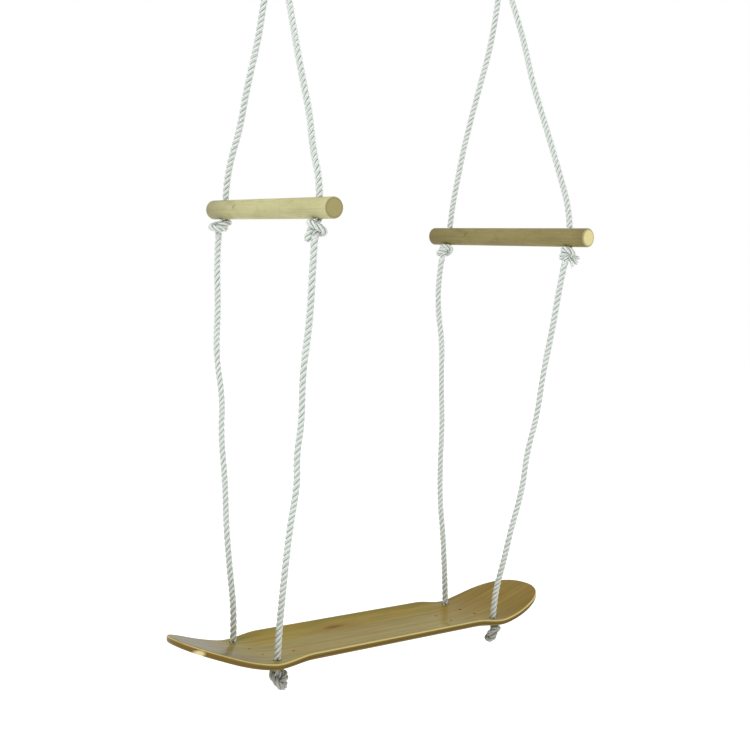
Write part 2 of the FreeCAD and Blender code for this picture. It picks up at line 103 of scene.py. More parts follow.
# ---------------------------------------------------------------- deck
DECK_CENTRE = Vector((0.244, 0.008, -1.461))
TAIL_LENGTH = 0.404
NOSE_LENGTH = 0.402
HALF_WIDTH = 0.089
THICKNESS = 0.011
END_LENGTH = 0.134
END_POWER = 2.42
KICK_START = 0.189
KICK_RADIUS = 0.440
TAIL_KICK = math.radians(19.5)
NOSE_KICK = math.radians(17.5)
CONCAVE_HEIGHT = 0.014
CONCAVE_START = 0.35
CONCAVE_POWER = 1.6
CONCAVE_FADE = 0.082
EDGE_RADIUS = 0.0032
WHEELBASE = 0.367
TRUCK_LENGTH = 0.0635
TRUCK_WIDTH = 0.04128
TRUCK_HOLE_RADIUS = 0.00275
ROPE_HOLE = Vector((0.250, 0.067))
ROPE_HOLE_RADIUS = 0.007
HOLE_SIDES = 32
HOLE_TURN = math.radians(4)
SLIVER = 0.00006
# The figure in the wood, from the deck's centre: (along, across, length, width) of each warm patch.
WARM_PATCHES = ((0.135, 0.062, 0.050, 0.016), (0.223, 0.040, 0.045, 0.018), (-0.150, -0.020, 0.070, 0.014),
                (-0.195, 0.056, 0.040, 0.010), (0.020, 0.020, 0.080, 0.012))
EYE_PLACE = Vector((-0.040, 0.056, 0.0))
WORN_PLACE = Vector((-0.3875, -0.050, 0.035))
# The edge's plies: the two pale top ones hold a painted highlight on the rounded top of the edge as well as
# pale maple, and the browner ones below hold painted shade as well as their own colour.
PALE_LIT_PLY = (0.52, 0.43, 0.17)
GREY_PLY = (0.160, 0.120, 0.034)
BROWN_PLY = (0.155, 0.098, 0.021)
DARK_PLY = (0.095, 0.063, 0.015)
PLY_AND_EDGE_LIGHT_COLOURS = (PALE_LIT_PLY, PALE_LIT_PLY, GREY_PLY, BROWN_PLY, DARK_PLY, BROWN_PLY, GREY_PLY)

# ---------------------------------------------------------------- handles and fittings
HANDLE_LENGTH = 0.398
HANDLE_EDGE = 0.003
HANDLE_HOLES = {
    "left": {"far": Vector((16, 161, -703)) * MM, "near": Vector((-6, -150, -723)) * MM},
    "right": {"far": Vector((520, 118, -717)) * MM, "near": Vector((530, -194, -734)) * MM},
}

# ---------------------------------------------------------------- camera and room
CAMERA_PLACE = Vector((-1.077, -1.597, -0.915))
CAMERA_YAW = math.radians(-39.44)
CAMERA_PITCH = math.radians(2.11)
CAMERA_ROLL = math.radians(1.29)
CAMERA_LENS = 55.2
FLOOR_Z = -1.86
FLOOR_RADIUS = 40.0


# ================================================================ small helpers
def new_object(name, mesh):
    """A linked object for a mesh."""
    thing = bpy.data.objects.new(name, mesh)
    bpy.context.scene.collection.objects.link(thing)
    return thing


def mesh_from(name, points, faces):
    """A smooth-shaded mesh from arrays of points and faces."""
    mesh = bpy.data.meshes.new(name)
    mesh.from_pydata([tuple(point) for point in points], [], [tuple(face) for face in faces])
    mesh.update()
    shade_smooth(mesh)
    return mesh


def shade_smooth(mesh):
    """Shade every face smoothly."""
    mesh.polygons.foreach_set("use_smooth", [True] * len(mesh.polygons))


def set_attribute(mesh, name, values):
    """One number per vertex, for a material to read."""
    attribute = mesh.attributes.new(name, "FLOAT", "POINT")
    attribute.data.foreach_set("value", np.asarray(values, np.float32))


def travelled(points):
    """How far along a line each of its points is."""
    return np.concatenate([[0.0], np.cumsum(np.linalg.norm(np.diff(points, axis=0), axis=1))])


def paint(thing, material):
    """Give an object one material."""
    thing.data.materials.clear()
    thing.data.materials.append(material)


def smooth_step(share):
    """0 to 1 with level ends."""
    share = np.clip(share, 0.0, 1.0)
    return share * share * (3 - 2 * share)


# ================================================================ materials
class Nodes:
    """Short calls for building a node material."""

    def __init__(self, name):
        self.material = bpy.data.materials.new(name)
        self.material.use_nodes = True
        self.tree = self.material.node_tree
        self.shader = self.tree.nodes["Principled BSDF"]
        self.base = self.add("TexCoord").outputs["Object"]

    def add(self, kind, **settings):
        """A node, with its properties and input values set."""
        node = self.tree.nodes.new("ShaderNode" + kind)
        for key, value in settings.items():
            if hasattr(node, key):
                setattr(node, key, value)
            else:
                node.inputs[key.replace("_", " ")].default_value = value
        return node

    def link(self, source, target):
        """Join an output to an input."""
        self.tree.links.new(source, target)

    def set(self, **values):
        """Values on the shader itself."""
        for key, value in values.items():
            self.shader.inputs[key.replace("_", " ")].default_value = value

    def turn_to(self, centre, axis):
        """Measure from a centre from now on, with Z along an axis."""
        mapping = self.add("Mapping", vector_type="TEXTURE")
        mapping.inputs["Location"].default_value = centre
        mapping.inputs["Rotation"].default_value = axis.to_track_quat("Z", "Y").to_euler()
        self.link(self.base, mapping.inputs["Vector"])
        self.base = mapping.outputs["Vector"]

    def place(self, scale):
        """The object's own coordinates, scaled."""
        mapping = self.add("Mapping")
        mapping.inputs["Scale"].default_value = scale
        self.link(self.base, mapping.inputs["Vector"])
        return mapping.outputs["Vector"]

    def along(self, axis):
        """One of the object's own coordinates."""
        parts = self.add("SeparateXYZ")
        self.link(self.base, parts.inputs["Vector"])
        return parts.outputs[axis]

    def spot(self, centre, reach, wobble, start, stop):
        """1 inside an ellipsoid with a ragged edge, and 0 outside it."""
        mapping = self.add("Mapping", vector_type="TEXTURE")
        mapping.inputs["Location"].default_value = centre
        mapping.inputs["Scale"].default_value = reach
        self.link(self.base, mapping.inputs["Vector"])
        length = self.add("VectorMath", operation="LENGTH")
        self.link(mapping.outputs["Vector"], length.inputs[0])
        return self.grey(self.math("ADD", length.outputs["Value"], wobble), 1.0, 0.0, start, stop)

    def noise(self, scale, detail=4.0, roughness=0.5, distortion=0.0):
        """Noise over the object's own coordinates, with its own scale each way."""
        node = self.add("TexNoise", Scale=1.0, Detail=detail, Roughness=roughness, Distortion=distortion)
        self.link(self.place(scale), node.inputs["Vector"])
        return node.outputs["Fac"]

    def ramp(self, factor, stops, interpolation="LINEAR"):
        """Colours along a factor. A stop is (position, colour)."""
        node = self.add("ValToRGB")
        node.color_ramp.interpolation = interpolation
        elements = node.color_ramp.elements
        while len(elements) < len(stops):
            elements.new(1.0)
        for element, (position, colour) in zip(elements, stops):
            element.position = position
            element.color = (*colour, 1.0)
        self.link(factor, node.inputs["Fac"])
        return node.outputs["Color"]

    def grey(self, factor, low, high, start=0.0, stop=1.0):
        """A factor stretched to run from low to high between two of its values."""
        node = self.add("MapRange")
        node.inputs["From Min"].default_value = start
        node.inputs["From Max"].default_value = stop
        node.inputs["To Min"].default_value = low
        node.inputs["To Max"].default_value = high
        self.link(factor, node.inputs["Value"])
        return node.outputs["Result"]

    def mix(self, factor, first, second):
        """Two colours mixed by a factor, which is a socket or a number."""
        node = self.add("Mix", data_type="RGBA")
        self.feed(factor, node.inputs["Factor"])
        self.feed(first, node.inputs[6])
        self.feed(second, node.inputs[7])
        return node.outputs[2]

    def math(self, operation, first, second=0.0):
        """Arithmetic on sockets or numbers."""
        node = self.add("Math", operation=operation)
        self.feed(first, node.inputs[0])
        self.feed(second, node.inputs[1])
        return node.outputs[0]

    def feed(self, value, socket):
        """Link a socket, or set a number or a colour."""
        if isinstance(value, bpy.types.NodeSocket):
            self.link(value, socket)
        elif isinstance(value, (int, float)):
            socket.default_value = value
        else:
            socket.default_value = (*value, 1.0)

    def attribute(self, name):
        """A number stored on the mesh."""
        return self.add("Attribute", attribute_name=name).outputs["Fac"]

    def bump(self, height, depth):
        """Surface relief of a given depth in metres."""
        node = self.add("Bump", Strength=1.0, Distance=depth)
        self.link(height, node.inputs["Height"])
        return node.outputs["Normal"]

    def finish(self, colour, roughness, normal=None):
        """Feed the shader and return the material."""
        for value, name in ((colour, "Base Color"), (roughness, "Roughness"), (normal, "Normal")):
            if value is not None:
                self.link(value, self.shader.inputs[name])
        return self.material


def rope_material():
    """White laid synthetic rope with fine yarns. Its colour holds painted shade: grey-green in the grooves
    between strands, pale on the crowns, darker and browner towards the deck, with a painted shadow under the
    deck.
    """
    nodes = Nodes("rope")
    crown = nodes.attribute("crown")
    patches = nodes.noise((40, 40, 40), detail=3.0)
    # painted shade across each strand: the crown ramp runs from dark grey-green grooves between strands to
    # pale crowns
    colour = nodes.ramp(crown, [(0.0, (0.09, 0.125, 0.105)), (0.45, (0.315, 0.36, 0.33)),
                                (0.85, (0.645, 0.690, 0.645))])
    colour = nodes.mix(nodes.grey(patches, 0.0, 0.35, 0.35, 0.75), colour, (0.50, 0.545, 0.505))
    height = nodes.along("Z")
    # painted shade, browner, that deepens down the rope towards the deck
    colour = nodes.mix(nodes.grey(height, 0.42, 0.0, -1.44, -1.26), colour, (0.33, 0.32, 0.26))
    # painted shadow under the deck, darkening the rope and knots below the deck's level
    colour = nodes.mix(nodes.grey(height, 0.45, 0.0, -1.474, -1.460), colour, (0.16, 0.15, 0.125))
    across = nodes.attribute("yarn")
    ridges = nodes.math("SINE", nodes.math("MULTIPLY", across, 2 * math.pi))
    fibres = nodes.noise((900, 900, 900), detail=2.0)
    relief = nodes.math("ADD", nodes.grey(ridges, 0.0, 1.0, -1.0, 1.0), nodes.math("MULTIPLY", fibres, 0.5))
    nodes.set(Specular_IOR_Level=0.3, Sheen_Weight=0.08, Sheen_Roughness=0.4)
    return nodes.finish(colour, nodes.grey(fibres, 0.38, 0.62), nodes.bump(relief, 0.00025))


def deck_material():
    """Clear-lacquered maple: fine lengthwise grain, warm patches, one dark eye, plies on the edge with a
    painted highlight along its rounded top and painted shade below it.
    """
    nodes = Nodes("deck_wood")
    grain = nodes.noise((2.2, 95, 6), detail=6.0, roughness=0.62, distortion=0.25)
    broad = nodes.noise((3.2, 12, 2), detail=3.0, distortion=0.6)
    fleck = nodes.noise((14, 130, 20), detail=4.0, distortion=0.3)
    pores = nodes.noise((28, 900, 30), detail=2.0)
    colour = nodes.ramp(grain, [(0.25, (0.158, 0.117, 0.020)), (0.5, (0.233, 0.179, 0.036)),
                                (0.75, (0.287, 0.231, 0.055))])
    colour = nodes.mix(nodes.grey(broad, 0.0, 0.65, 0.48, 0.72), colour, (0.245, 0.150, 0.026))
    colour = nodes.mix(nodes.grey(fleck, 0.0, 0.6, 0.50, 0.75), colour, (0.150, 0.108, 0.022))
    nose = nodes.grey(nodes.along("X"), 0.0, 0.75, DECK_CENTRE.x + 0.16, DECK_CENTRE.x + 0.30)
    nose_colour = nodes.ramp(grain, [(0.3, (0.150, 0.091, 0.009)), (0.7, (0.222, 0.143, 0.020))])
    colour = nodes.mix(nose, colour, nose_colour)
    tail = nodes.grey(nodes.along("X"), 0.9, 0.0, DECK_CENTRE.x - 0.34, DECK_CENTRE.x - 0.25)
    tail_colour = nodes.ramp(grain, [(0.3, (0.072, 0.053, 0.010)), (0.7, (0.132, 0.104, 0.026))])
    colour = nodes.mix(tail, colour, tail_colour)
    for along, across, length, width in WARM_PATCHES:
        place = DECK_CENTRE + Vector((along, across, 0.0))
        patch = nodes.spot(place, (length, width, 0.5), nodes.math("MULTIPLY", fleck, 0.8), 0.3, 1.5)
        colour = nodes.mix(nodes.math("MULTIPLY", patch, 0.5), colour, (0.275, 0.150, 0.022))
    wobble = nodes.math("MULTIPLY", nodes.noise((22, 150, 10), detail=4.0), 0.9)
    halo = nodes.spot(DECK_CENTRE + EYE_PLACE, (0.056, 0.015, 0.5), wobble, 0.5, 1.8)
    colour = nodes.mix(nodes.math("MULTIPLY", halo, 0.75), colour, (0.225, 0.115, 0.020))
    heart = nodes.spot(DECK_CENTRE + EYE_PLACE, (0.028, 0.0065, 0.5), wobble, 0.5, 1.5)
    colour = nodes.mix(nodes.math("MULTIPLY", heart, 0.85), colour, (0.092, 0.048, 0.012))
    colour = nodes.mix(nodes.grey(pores, 0.0, 0.28, 0.55, 0.8), colour, (0.130, 0.085, 0.022))
    depth = nodes.attribute("ply")
    worn = nodes.spot(DECK_CENTRE + WORN_PLACE, (0.014, 0.014, 0.008),
                      nodes.math("MULTIPLY", fleck, 0.5), 0.7, 1.1)
    # the edge's plies, with a painted highlight on their rounded top and painted shade below it
    plies = nodes.mix(worn, ply_and_edge_light_colour(nodes, depth, grain), (0.60, 0.50, 0.26))
    colour = nodes.mix(nodes.attribute("edge"), colour, plies)
    roughness = nodes.grey(nodes.noise((30, 200, 30), detail=2.0), 0.24, 0.38)
    relief = nodes.math("ADD", grain, nodes.math("MULTIPLY", pores, 0.5))
    nodes.set(Specular_IOR_Level=0.05)
    return nodes.finish(colour, roughness, nodes.bump(relief, 0.00010))


def ply_and_edge_light_colour(nodes, depth, grain):
    """The plies on the sanded edge: the top ones pale, with a painted highlight on the rounded top of the
    edge, and the rest browner, with painted shade. The tail's are warmer.
    """
    stops = [(number / len(PLY_AND_EDGE_LIGHT_COLOURS), colour) for number, colour in enumerate(PLY_AND_EDGE_LIGHT_COLOURS)]
    layers = nodes.ramp(depth, stops, "CONSTANT")
    colour = nodes.mix(nodes.grey(grain, 0.0, 0.4, 0.45, 0.75), layers, DARK_PLY)
    below = nodes.grey(depth, 0.0, 0.75, 0.15, 0.2)
    tail = nodes.grey(nodes.along("X"), 1.0, 0.0, DECK_CENTRE.x - 0.33, DECK_CENTRE.x - 0.22)
    return nodes.mix(nodes.math("MULTIPLY", below, tail), colour, (0.150, 0.092, 0.020))


def handle_material(side, side_dark, side_light, far_colour, near_colour, end_colour):
    """A turned dowel: long grain along the sides, and rings of end grain on both faces."""
    nodes = Nodes(side + "_handle_wood")
    far, near = HANDLE_HOLES[side]["far"], HANDLE_HOLES[side]["near"]
    nodes.turn_to((far + near) / 2, (far - near).normalized())
    along = nodes.along("Z")
    fibres = nodes.noise((330, 330, 7), detail=6.0, roughness=0.65)
    patches = nodes.noise((34, 34, 7), detail=3.0, distortion=0.4)
    specks = nodes.noise((150, 150, 90), detail=2.0)
    colour = nodes.ramp(fibres, [(0.2, side_dark), (0.5, side_light)])
    colour = nodes.mix(nodes.grey(patches, 0.0, 0.6, 0.45, 0.75), colour, side_dark)
    blotches = nodes.noise((70, 70, 28), detail=4.0, roughness=0.6)
    colour = nodes.mix(nodes.grey(blotches, 0.0, 0.5, 0.5, 0.7), colour, side_dark)
    colour = nodes.mix(nodes.grey(along, 0.0, 0.7, 0.10, 0.19), colour, far_colour)
    colour = nodes.mix(nodes.grey(along, 0.45, 0.0, -0.192, -0.170), colour, near_colour)
    colour = nodes.mix(nodes.grey(specks, 0.0, 0.6, 0.71, 0.77), colour, (0.10, 0.065, 0.02))
    mapping = nodes.add("Mapping")
    mapping.inputs["Location"].default_value = (0.009, 0.014, 0.0)
    nodes.link(nodes.base, mapping.inputs["Vector"])
    rings = nodes.add("TexWave", wave_type="RINGS", rings_direction="Z", Scale=130.0, Distortion=2.5,
                      Detail=3.0, Detail_Scale=2.0)
    nodes.link(mapping.outputs["Vector"], rings.inputs["Vector"])
    speckle = nodes.noise((700, 700, 40), detail=3.0)
    end_grain = nodes.mix(nodes.grey(rings.outputs["Fac"], 0.0, 0.42), end_colour, side_dark)
    end_grain = nodes.mix(nodes.grey(speckle, 0.0, 0.35, 0.5, 0.75), end_grain, side_dark)
    inside = nodes.spot(Vector((0.0, 0.0, -HANDLE_LENGTH / 2)), (0.0146, 0.0146, 1.0),
                        nodes.math("MULTIPLY", speckle, 0.2), 0.95, 1.1)
    outside = nodes.math("MULTIPLY", nodes.math("SUBTRACT", 1.0, inside), 0.6)
    end_grain = nodes.mix(outside, end_grain, far_colour)
    face = HANDLE_LENGTH / 2
    offset = nodes.math("ABSOLUTE", along)
    on_end = nodes.grey(offset, 0.0, 1.0, face - HANDLE_EDGE * 0.6, face - HANDLE_EDGE * 0.2)
    colour = nodes.mix(on_end, colour, end_grain)
    nodes.set(Specular_IOR_Level=0.3)
    return nodes.finish(colour, nodes.grey(fibres, 0.45, 0.65), nodes.bump(fibres, 0.00010))


def steel_material():
    """Bright zinc plating with a faint spangle."""
    nodes = Nodes("zinc")
    spangle = nodes.noise((260, 260, 260), detail=3.0)
    scuffs = nodes.noise((900, 900, 120), detail=2.0)
    colour = nodes.ramp(spangle, [(0.35, (0.34, 0.35, 0.37)), (0.65, (0.44, 0.45, 0.47))])
    nodes.set(Metallic=1.0)
    return nodes.finish(colour, nodes.grey(scuffs, 0.24, 0.46), nodes.bump(spangle, 0.00004))


def floor_material():
    """A pale matt studio floor."""
    nodes = Nodes("floor")
    mottle = nodes.noise((1.5, 1.5, 1.5), detail=3.0)
    colour = nodes.ramp(mottle, [(0.3, (0.92, 0.92, 0.92)), (0.7, (0.95, 0.95, 0.95))])
    nodes.set(Emission_Color=(1.0, 1.0, 1.0, 1.0), Emission_Strength=0.25)
    return nodes.finish(colour, nodes.grey(mottle, 0.85, 0.95))


# ================================================================ rope making
def spline_points(name, route, steps=24):
    """Points along a smooth curve that has the route as its control points."""
    data = bpy.data.curves.new(name + "_line", "CURVE")
    data.dimensions = "3D"
    data.resolution_u = steps
    spline = data.splines.new("NURBS")
    spline.points.add(len(route) - 1)
    for point, place in zip(spline.points, route):
        point.co = (*place, 1.0)
    spline.order_u = 3
    spline.use_endpoint_u = True
    holder = bpy.data.objects.new(name + "_line", data)
    mesh = bpy.data.meshes.new_from_object(holder)
    points = np.array([vertex.co for vertex in mesh.vertices], float)
    bpy.data.objects.remove(holder)
    bpy.data.meshes.remove(mesh)
    bpy.data.curves.remove(data)
    return points


def evenly(points, spacing):
    """The same line, with points at about an even spacing."""
    return respaced(points, max(int(round(travelled(points)[-1] / spacing)), 4) + 1)


def respaced(line, count):
    """A line with a set number of evenly spaced points."""
    distance = travelled(line)
    wanted = np.linspace(0.0, distance[-1], count)
    return np.stack([np.interp(wanted, distance, line[:, axis]) for axis in range(3)], 1)


def carried_frames(points):
    """Two directions across a line at each of its points, turning as little as they can."""
    tangents = np.gradient(points, axis=0)
    tangents /= np.linalg.norm(tangents, axis=1)[:, None]
    first = np.cross(tangents[0], (0.31, 0.95, 0.07))
    normals = [first / np.linalg.norm(first)]
    for tangent in tangents[1:]:
        normal = normals[-1] - tangent * np.dot(normals[-1], tangent)
        normals.append(normal / np.linalg.norm(normal))
    normals = np.array(normals)
    return normals, np.cross(tangents, normals)


def strand_tube(path, number, girth):
    """One strand wound round a path: its points, its faces, and the numbers its material reads."""
    normals, binormals = carried_frames(path)
    distance = travelled(path)
    uneven = 0.22 * np.sin(distance * 41.0) + 0.16 * np.sin(distance * 97.0 + 1.3)
    angle = 2 * math.pi * (distance / LAY_LENGTH + number / STRANDS) + uneven
    outward = np.cos(angle)[:, None] * normals + np.sin(angle)[:, None] * binormals
    centres = path + (STRAND_ORBIT * girth)[:, None] * outward
    along = np.gradient(centres, axis=0)
    across = np.cross(along, outward)
    across /= np.linalg.norm(across, axis=1)[:, None]
    out = np.cross(across, along)
    out /= np.linalg.norm(out, axis=1)[:, None]
    around = 2 * math.pi * np.arange(STRAND_SIDES) / STRAND_SIDES
    radius = STRAND_RADIUS * girth * (1 + 0.035 * np.sin(distance * 173.0 + 2.1 * number))
    tube = rings_round(centres, out, across, around, radius)
    crown = np.repeat(((1 + np.cos(around)) / 2)[None, :], len(path), 0)
    yarn = YARNS * (around[None, :] / (2 * math.pi) + distance[:, None] / LAY_LENGTH)
    return tube.reshape(-1, 3), tube_faces(len(path), STRAND_SIDES), crown.ravel(), yarn.ravel()


def rings_round(centres, out, across, around, radius):
    """A ring of points round each centre, at the angles in around."""
    cosine, sine = np.cos(around)[None, :, None], np.sin(around)[None, :, None]
    rings = cosine * out[:, None, :] + sine * across[:, None, :]
    return centres[:, None, :] + radius[:, None, None] * rings


def tube_faces(rows, sides):
    """The quads of a tube and its two end faces."""
    faces = []
    for row in range(rows - 1):
        for side in range(sides):
            here, following = row * sides + side, row * sides + (side + 1) % sides
            faces.append((here, following, following + sides, here + sides))
    faces.append(tuple(range(sides))[::-1])
    faces.append(tuple((rows - 1) * sides + side for side in range(sides)))
    return faces


def girth_along(path, knotted, cut_end):
    """Full thickness, but squeezed inside a knot, and drawn in where the rope was cut and its end melted."""
    distance = travelled(path)
    girth = np.ones(len(path))
    if knotted:
        girth -= (1 - KNOT_GIRTH) * smooth_step(distance / ROPE_DIAMETER)
    if cut_end:
        girth[-3:] *= (0.97, 0.90, 0.74)
    elif knotted:
        girth += (1 - KNOT_GIRTH) * smooth_step(1 - (distance[-1] - distance) / ROPE_DIAMETER)
    return girth


def laid_rope(name, lines, body, knotted=(), cut_ends=(), fans=()):
    """Three-strand rope along one or more lines, as one piece that rides on a body."""
    tubes = []
    for index, line in enumerate(lines):
        path = evenly(line, LAY_LENGTH / RINGS_PER_LAY)
        girth = girth_along(path, index in knotted, index in cut_ends)
        tubes += [strand_tube(path, number, girth) for number in range(STRANDS)]
    for fan in fans:
        tubes += loose_yarns(*fan)
    faces, start = [], 0
    for tube, quads, _, _ in tubes:
        faces += [tuple(corner + start for corner in quad) for quad in quads]
        start += len(tube)
    mesh = mesh_from(name, np.concatenate([tube[0] for tube in tubes]), faces)
    set_attribute(mesh, "crown", np.concatenate([tube[2] for tube in tubes]))
    set_attribute(mesh, "yarn", np.concatenate([tube[3] for tube in tubes]))
    rope = new_object(name, mesh)
    paint(rope, ROPE)
    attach(rope, body)
    return rope


def loose_yarns(start, direction, length):
    """The frayed end of a cut rope: its yarns, unlaid and fanned out."""
    direction = np.array(direction.normalized())
    side = np.cross(direction, (0.2, 0.3, 1.0))
    side /= np.linalg.norm(side)
    other = np.cross(direction, side)
    share = np.linspace(0.0, 1.0, 12)[:, None]
    tubes = []
    for number in range(LOOSE_YARNS):
        angle = 2.4 * number
        spread = math.sqrt((number + 0.5) / LOOSE_YARNS)
        out = math.cos(angle) * side + math.sin(angle) * other
        reach = length * (1 - 0.28 * spread + 0.10 * math.sin(5.0 * number))
        line = np.array(start) + share * direction * reach + out * spread * (0.004 + 0.010 * share ** 1.5)
        line += share ** 2 * np.array([0.0, 0.0, -0.15 * length])
        tubes.append(yarn_tube(line, YARN_RADIUS * (1 - 0.35 * share[:, 0] ** 3), number))
    return tubes


def yarn_tube(path, radius, number):
    """One loose yarn, as strand_tube gives a strand."""
    normals, binormals = carried_frames(path)
    around = 2 * math.pi * np.arange(YARN_SIDES) / YARN_SIDES
    tube = rings_round(path, normals, binormals, around, radius)
    crown = np.full((len(path), YARN_SIDES), 0.45 + 0.25 * (number % 3))
    yarn = np.repeat(around[None, :] / (2 * math.pi), len(path), 0)
    return tube.reshape(-1, 3), tube_faces(len(path), YARN_SIDES), crown.ravel(), yarn.ravel()


# ================================================================ knots, pulled tight by a small simulation
KNOT_POINTS = 80
KNOT_ROUNDS = 220
KNOT_REACH = 3.6
KNOT_CUT = 1.6
SAME_STRETCH = 1.6
PULL = 0.5
SHORTENINGS = 4
SEPARATIONS = 6


def slack_overhand():
    """A slack overhand knot along the Z axis, in rope diameters, from its bottom end to its top end."""
    turn = np.linspace(-2.12, 2.12, 120)
    across = 0.62 * (turn ** 3 - 3 * turn)
    sideways = 0.55 * (turn ** 4 - 4 * turn ** 2) + 1.0
    height = 0.19 * (turn ** 5 - 10 * turn)
    loop = np.stack([across, sideways, height], 1)
    loop = loop[np.abs(height) < KNOT_REACH - 0.6]
    ends = np.array([[0, 0, KNOT_REACH - 0.4], [0, 0, KNOT_REACH]])
    return np.concatenate([ends[::-1] * (1, 1, -1), loop, ends])


def kept_apart(place, spacing):
    """Push apart stretches of rope that are closer than a diameter, unless they are one stretch."""
    index = np.arange(len(place))
    gap = place[:, None, :] - place[None, :, :]
    distance = np.linalg.norm(gap, axis=2)
    along = np.abs(index[:, None] - index[None, :]) * spacing
    close = (along > SAME_STRETCH) & (distance < 1.0) & (distance > 1e-9)
    push = np.where(close, (1.0 - distance) / np.maximum(distance, 1e-9), 0.0)
    return place + 0.2 * (push[:, :, None] * gap).sum(axis=1)


def tightened(line):
    """Draw a slack knot tight: its line shortens, and its stretches are kept a diameter apart."""
    rope = respaced(line, KNOT_POINTS)
    for turn in range(KNOT_ROUNDS):
        easing = PULL * min(1.0, 3.3 * (1 - turn / KNOT_ROUNDS)) + 0.02
        for _ in range(SHORTENINGS):
            rope[1:-1] += easing * ((rope[:-2] + rope[2:]) / 2 - rope[1:-1])
        moved = rope
        spacing = np.linalg.norm(np.diff(rope, axis=0), axis=1).mean()
        for _ in range(SEPARATIONS):
            moved = kept_apart(moved, spacing)
        moved[[0, -1]] = rope[[0, -1]]
        rope = respaced(moved, KNOT_POINTS)
    return rope


def turned(line, angle):
    """A line turned about the Z axis."""
    cosine, sine = math.cos(angle), math.sin(angle)
    return line @ np.array([[cosine, sine, 0], [-sine, cosine, 0], [0, 0, 1]])


def knot_between(line, upper, lower, width, shift, bottom=KNOT_CUT):
    """A knot's line in metres, sheared and squashed so that its ends meet two points, its middle shifted.

    bottom is how far below its middle the line is cut off, in rope diameters.
    """
    thick = KNOT_SCALE * ROPE_DIAMETER
    kept = line[(line[:, 2] <= KNOT_CUT) & (line[:, 2] >= -bottom)] * thick
    share = np.clip((kept[:, 2] + KNOT_CUT * thick) / (2 * KNOT_CUT * thick), 0, 1)[:, None]
    upper, lower = np.array(upper), np.array(lower)
    kept[:, 2] = kept[:, 2] * (upper[2] - lower[2]) / (2 * KNOT_CUT * thick) + (upper[2] + lower[2]) / 2
    kept[:, :2] = kept[:, :2] * width + lower[:2] + (upper[:2] - lower[:2]) * share
    kept += np.sin(math.pi * share) * np.array(shift)
    return kept


# ================================================================ ropes and knots in place
# Each knot's height in millimetres, width factor, shift leftward in millimetres, and turn in degrees.
HANDLE_KNOTS = {("left", "far"): (21, 1.25, 4, 40), ("left", "near"): (25, 1.2, 0, 150),
                ("right", "far"): (21, 1.1, 0, 220), ("right", "near"): (24, 1.0, -1, 200)}
DECK_KNOTS = {("left", "far"): (20, 1.0, 0, 10), ("left", "near"): (36, 1.06, -5, 95),
              ("right", "far"): (30, 1.0, 0, 170), ("right", "near"): (34, 0.92, 0, 310)}
DECK_KNOT_CUT = 1.02
LEFTWARD = Vector((-0.772, 0.635, 0.0))
CUT_TAIL = Vector((-0.30, 0.25, -0.90))
FRAYED_TAIL = Vector((0.62, -0.50, -0.55))


def make_ropes():
    """The four upper and four lower ropes."""
    for side in SIDES:
        for row in ROWS:
            for part, routes in (("upper", UPPER_ROUTES), ("lower", LOWER_ROUTES)):
                node = f"{side}_{row}_{part}_rope"
                route = [Vector(point) * MM for point in routes[(side, row)]]
                line = spline_points(node, route)
                rope = laid_rope("laid_" + node, [line], side + "_ropes")
                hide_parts(node)


def make_handle_knots(knot):
    """The overhand stopper knots that the handles rest on. The near ones show their cut ends."""
    for side in SIDES:
        for row in ROWS:
            key = (side, row)
            height, width, shift, turn = HANDLE_KNOTS[key]
            upper = Vector(UPPER_ROUTES[key][-1]) * MM
            below = Vector(LOWER_ROUTES[key][0]) * MM
            lower = Vector((below.x, below.y, upper.z - height * MM))
            shaped = turned(knot, math.radians(turn))
            line = knot_between(shaped, upper, lower, width, LEFTWARD * shift * MM)
            lines = [np.concatenate([[np.array(below) - (0, 0, 0.006)], line])]
            fans = ()
            middle = (upper + lower) / 2
            if key == ("left", "near"):
                lines.append(tail_line(middle + LEFTWARD * 0.008, CUT_TAIL, 0.019))
            if key == ("right", "near"):
                fans = [(middle + FRAYED_TAIL * 0.004, FRAYED_TAIL, 0.021)]
            piece = laid_rope(f"tied_{side}_{row}_handle_knot", lines, side + "_ropes",
                              knotted=(0,), cut_ends=(1,), fans=fans)
            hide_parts(f"{side}_{row}_handle_knot")


def tail_line(start, direction, length):
    """A short cut end of rope that leaves a knot and droops a little."""
    share = np.linspace(0.0, 1.0, 14)[:, None]
    straight = np.array(start) + share * np.array(direction.normalized()) * length
    return straight + share ** 2 * np.array([0.0, 0.0, -0.2 * length])


def make_deck_knots(knot):
    """The rope in each hole of the deck and the knot below it, in one piece."""
    for side in SIDES:
        for row in ROWS:
            height, width, shift, turn = DECK_KNOTS[(side, row)]
            low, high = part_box(f"{side}_{row}_rope_end")
            middle = (low + high) / 2
            top = np.array((middle.x, middle.y, high.z))
            upper = Vector((middle.x, middle.y, low.z - 0.001))
            lower = upper - Vector((0, 0, height * MM))
            shaped = turned(knot, math.radians(turn))
            line = knot_between(shaped, upper, lower, width, LEFTWARD * shift * MM, bottom=DECK_KNOT_CUT)
            whole = np.concatenate([line, [top]])[::-1]
            piece = laid_rope(f"tied_{side}_{row}_deck_knot", [whole], "deck_body",
                              knotted=(0,), cut_ends=(0,))
            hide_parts(f"{side}_{row}_rope_end", f"{side}_{row}_deck_knot")


# ================================================================ the deck
def kick_height(along):
    """Height of the deck's middle line above its flat."""
    reach = abs(along) - KICK_START
    angle = TAIL_KICK if along < 0 else NOSE_KICK
    curve_end = KICK_RADIUS * math.sin(angle)
    if reach <= 0:
        return 0.0
    if reach <= curve_end:
        return KICK_RADIUS - math.sqrt(KICK_RADIUS ** 2 - reach ** 2)
    return KICK_RADIUS * (1 - math.cos(angle)) + (reach - curve_end) * math.tan(angle)


